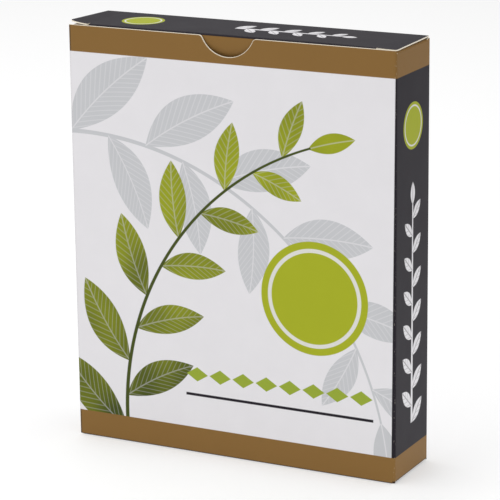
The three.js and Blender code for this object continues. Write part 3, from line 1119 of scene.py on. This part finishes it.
def fold_pouch(sizes, face, low, high):
    """First pouch of the stack: two plies with pressed seals, a hem and soft waves."""
    top = high.z - sizes.tag_rise
    hem_foot = top - sizes.hem
    inside = high.x - sizes.seal_width
    piece = start_block("pouch", (low.x, face, low.z), (high.x, face + sizes.paper, top))
    pick("EDGE", lambda a, b: near(a.x, b.x) and near(a.z, b.z) and near(a.z, low.z))
    round_off(sizes.foot_corner, 4)
    for x in (-inside, inside):
        cut("x", x)
    for z in (hem_foot, hem_foot + sizes.hem_ramp):
        cut("z", z)
    for step in range(-3, 4):
        cut("x", step * inside / 4)
    for step in range(1, 10):
        cut("z", low.z + step * (hem_foot - low.z) / 10)
    pick("VERT", lambda p: abs(p.x) > inside + HAIR and p.z < hem_foot - HAIR)
    bpy.ops.transform.resize(
        value=(1, sizes.seal / sizes.paper, 1),
        center_override=(0, face + sizes.paper / 2, 0),
        orient_type="GLOBAL",
    )
    pick("VERT", lambda p: near(p.y, face) and p.z > hem_foot + sizes.hem_ramp / 2)
    shift(y=-sizes.hem_rise)
    close_mesh()
    waves = bpy.data.textures.new("paper_waves", "CLOUDS")
    waves.noise_scale = sizes.wave_spread
    bpy.ops.object.modifier_add(type="DISPLACE")
    displace = piece.modifiers[-1]
    displace.texture = waves
    displace.texture_coords = "LOCAL"
    displace.direction = "Y"
    displace.strength = sizes.wave
    displace.mid_level = 0.5
    bpy.ops.object.modifier_apply(modifier=displace.name)
    smooth(piece, 40)
    return piece


def string_route(sizes, face, top):
    """Points along a drawstring, out of the hem, over the pouch in shortening runs and up to the tag."""
    runs, turn_steps = 3, 8
    turn = sizes.string_turn
    x = sizes.tag_centre + 2 * runs * turn
    hem_foot = top - sizes.hem
    low = hem_foot - sizes.string_run
    high = hem_foot - 2 * turn - sizes.tag_height
    lift = face - sizes.string / 2 - 2 * HAIR
    points = [Vector((x, face - sizes.hem_rise, hem_foot))]
    here = hem_foot
    for run in range(1, runs + 1):
        down = run % 2 == 1
        bottom = low if down else high
        for part in (0.3, 0.6):
            sway = sizes.string_sway * math.sin(run * 2 + part * 7)
            points.append(Vector((x + sway, lift, here + (bottom - here) * part)))
        for step in range(turn_steps + 1):
            angle = math.pi * step / turn_steps
            drop = -math.sin(angle) if down else math.sin(angle)
            points.append(Vector((x - turn + turn * math.cos(angle), lift, bottom + turn * drop)))
        here = bottom
        x -= 2 * turn
        if down:
            low += sizes.string_step
    last = top + sizes.tag_rise - sizes.tag_height
    for part in (0.35, 0.7, 1):
        points.append(Vector((x, lift, here + (last - here) * part)))
    return points


def lay_string(name, sizes, points):
    """Drawstring as a curve of one open spline, with its length."""
    data = bpy.data.curves.new(name, "CURVE")
    data.dimensions = "3D"
    data.bevel_depth = sizes.string / 2
    data.bevel_resolution = 1
    data.use_fill_caps = True
    spline = data.splines.new("POLY")
    spline.points.add(len(points) - 1)
    for target, point in zip(spline.points, points):
        target.co = (*point, 1)
    spline.use_smooth = True
    piece = bpy.data.objects.new(name, data)
    bpy.context.scene.collection.objects.link(piece)
    total = sum((b - a).length for a, b in zip(points, points[1:]))
    return piece, total


def cut_tag(sizes, face, high):
    """First tag of the stack, with rounded corners."""
    left = sizes.tag_centre - sizes.tag_width / 2
    back = face - sizes.hem_rise
    low = (left, back - sizes.tag_card, high.z - sizes.tag_height)
    rim = 0.25 * MM
    piece = start_block("tag", low, (left + sizes.tag_width, back, high.z))
    pick("EDGE", lambda a, b: near(a.x, b.x) and near(a.z, b.z))
    round_off(sizes.tag_corner, 4)
    pick("FACE", lambda middle, facing: abs(facing.y) > SQUARE_ON)
    bpy.ops.mesh.inset(thickness=rim, depth=0)
    close_mesh()
    smooth(piece)
    return piece


def turn_tag(piece, angle, foot):
    """Lean a tag a little about its string."""
    open_mesh(piece)
    bpy.ops.mesh.select_all(action="SELECT")
    bpy.ops.transform.rotate(value=angle, orient_axis="Y", orient_type="GLOBAL", center_override=foot)
    close_mesh()


# Operators

class CARTON_OT_walls(bpy.types.Operator):
    """Fold the carton's walls, dust flaps and glued bottom"""

    bl_idname = "carton.walls"
    bl_label = "Fold walls"

    def execute(self, context):
        scene = context.scene
        colours = scene.print_colours
        materials = (printed_walls(colours, scene.board_sizes), bare_board(colours), cut_edge(colours))
        piece = fold_walls(scene.board_sizes, materials)
        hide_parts("carton_body")
        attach(piece, "carton")
        return {"FINISHED"}


class CARTON_OT_lid(bpy.types.Operator):
    """Fold the lid and the crease that it turns on"""

    bl_idname = "carton.lid"
    bl_label = "Fold lid"

    def execute(self, context):
        scene = context.scene
        sizes = scene.board_sizes
        inner = [bpy.data.materials[name] for name in ("inside_board", "cut_edge")]
        materials = (printed_lid(scene.print_colours), *inner)
        lid = fold_lid(sizes, materials)
        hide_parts("lid")
        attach(lid, "lid")
        crease = fold_crease(sizes, materials)
        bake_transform(crease)
        return {"FINISHED"}


class CARTON_OT_filters(bpy.types.Operator):
    """Stack the filter pouches with their drawstrings and tags"""

    bl_idname = "carton.filters"
    bl_label = "Stack filters"

    def execute(self, context):
        scene = context.scene
        sizes = scene.filter_sizes
        colours = scene.print_colours
        first_low, first_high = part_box(FILTERS[0])
        face = first_low.y + sizes.hem_rise + sizes.tag_card
        route = string_route(sizes, face, first_high.z - sizes.tag_rise)
        tag_foot = Vector((sizes.tag_centre, 0, first_high.z - sizes.tag_height))
        cotton = cotton_string(colours)
        pouch = fold_pouch(sizes, face, first_low, first_high)
        wear(pouch, filter_paper(colours, first_low, first_high, sizes))
        tag = cut_tag(sizes, face, first_high)
        wear(tag, tag_card(colours, tag_foot.x / MM, (tag_foot.z + sizes.tag_height / 2) / MM))
        chance = random.Random(30)
        for name in FILTERS:
            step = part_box(name)[0].y - first_low.y
            own_pouch = copy_along(pouch, f"{name}_pouch", step)
            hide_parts(name)
            own_tag = copy_along(tag, f"{name}_tag", step)
            turn_tag(own_tag, math.radians(chance.uniform(-2, 2)), tag_foot)
            points = [point + Vector((0, step, 0)) for point in route]
            string, total = lay_string(f"{name}_string", sizes, points)
            string.data.materials.append(cotton)
            for piece in (own_pouch, own_tag, string):
                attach(piece, "carton")
        bpy.data.objects.remove(pouch)
        bpy.data.objects.remove(tag)
        return {"FINISHED"}


class CARTON_OT_stage(bpy.types.Operator):
    """Set the floor, the lights and the camera"""

    bl_idname = "carton.stage"
    bl_label = "Set stage"

    def execute(self, context):
        scene = context.scene
        studio = scene.studio
        floor_drop = 0.05 * MM
        bpy.ops.object.select_all(action="DESELECT")
        bpy.ops.mesh.primitive_plane_add(size=8, location=(0, 0, -floor_drop))
        floor = context.object
        settle(floor, "floor")
        wear(floor, studio_floor(scene.print_colours, studio.floor_glow))

        scene.view_settings.view_transform = "Standard"
        world = bpy.data.worlds.new("studio")
        world.use_nodes = True
        background = world.node_tree.nodes["Background"]
        background.inputs["Color"].default_value = (1, 1, 1, 1)
        background.inputs["Strength"].default_value = studio.room_light
        scene.world = world

        lights = (
            ("key_light", (-0.5, -0.95, 0.75), 0.8, studio.key_light, 0.075),
            ("side_light", (0.17, -0.03, 0.012), 0.06, studio.side_light, 0.012),
            ("top_light", (-0.3, 0.1, 1.3), 1.6, studio.top_light, 0.075),
        )
        for name, place, size, watts, aim in lights:
            data = bpy.data.lights.new(name, "AREA")
            data.shape = "SQUARE"
            data.size = size
            data.energy = watts
            light = bpy.data.objects.new(name, data)
            light.location = place
            light.visible_camera = False
            towards = Vector((0, 0, aim)) - Vector(place)
            light.rotation_euler = towards.to_track_quat("-Z", "Y").to_euler()
            scene.collection.objects.link(light)

        data = bpy.data.cameras.new("camera")
        data.lens = studio.lens
        data.sensor_width = 36
        camera = bpy.data.objects.new("camera", data)
        turned = Euler((RIGHT_ANGLE - studio.pitch, 0, studio.yaw)).to_matrix()
        rolled = turned @ Matrix.Rotation(studio.roll, 3, "Z")
        camera.rotation_euler = rolled.to_euler()
        camera.location = studio.place
        scene.collection.objects.link(camera)
        scene.camera = camera
        return {"FINISHED"}


class CARTON_PT_panel(bpy.types.Panel):
    """Buttons and sizes of the carton"""

    bl_idname = "CARTON_PT_panel"
    bl_label = "Carton of tea filters"
    bl_space_type = "VIEW_3D"
    bl_region_type = "UI"
    bl_category = "Carton"

    def draw(self, context):
        for operator in ("carton.stage", "carton.walls", "carton.lid", "carton.filters"):
            self.layout.operator(operator)
        for name, settings in SETTINGS.items():
            box = self.layout.box()
            for setting in settings.__annotations__:
                box.prop(getattr(context.scene, name), setting)


SETTINGS = {
    "board_sizes": BoardSizes,
    "filter_sizes": FilterSizes,
    "print_colours": PrintColours,
    "studio": StudioSettings,
}
CLASSES = (
    *SETTINGS.values(),
    CARTON_OT_walls,
    CARTON_OT_lid,
    CARTON_OT_filters,
    CARTON_OT_stage,
    CARTON_PT_panel,
)


def register():
    """Register the classes and hang the settings on the scene."""
    for item in CLASSES:
        bpy.utils.register_class(item)
    for name, settings in SETTINGS.items():
        setattr(bpy.types.Scene, name, bpy.props.PointerProperty(type=settings))


def unregister():
    """Take the settings off the scene and unregister the classes."""
    for name in SETTINGS:
        delattr(bpy.types.Scene, name)
    for item in reversed(CLASSES):
        bpy.utils.unregister_class(item)


def main():
    """Make the carton."""
    register()
    bpy.ops.carton.stage()
    bpy.ops.carton.walls()
    bpy.ops.carton.lid()
    bpy.ops.carton.filters()


if __name__ == "__main__":
    main()
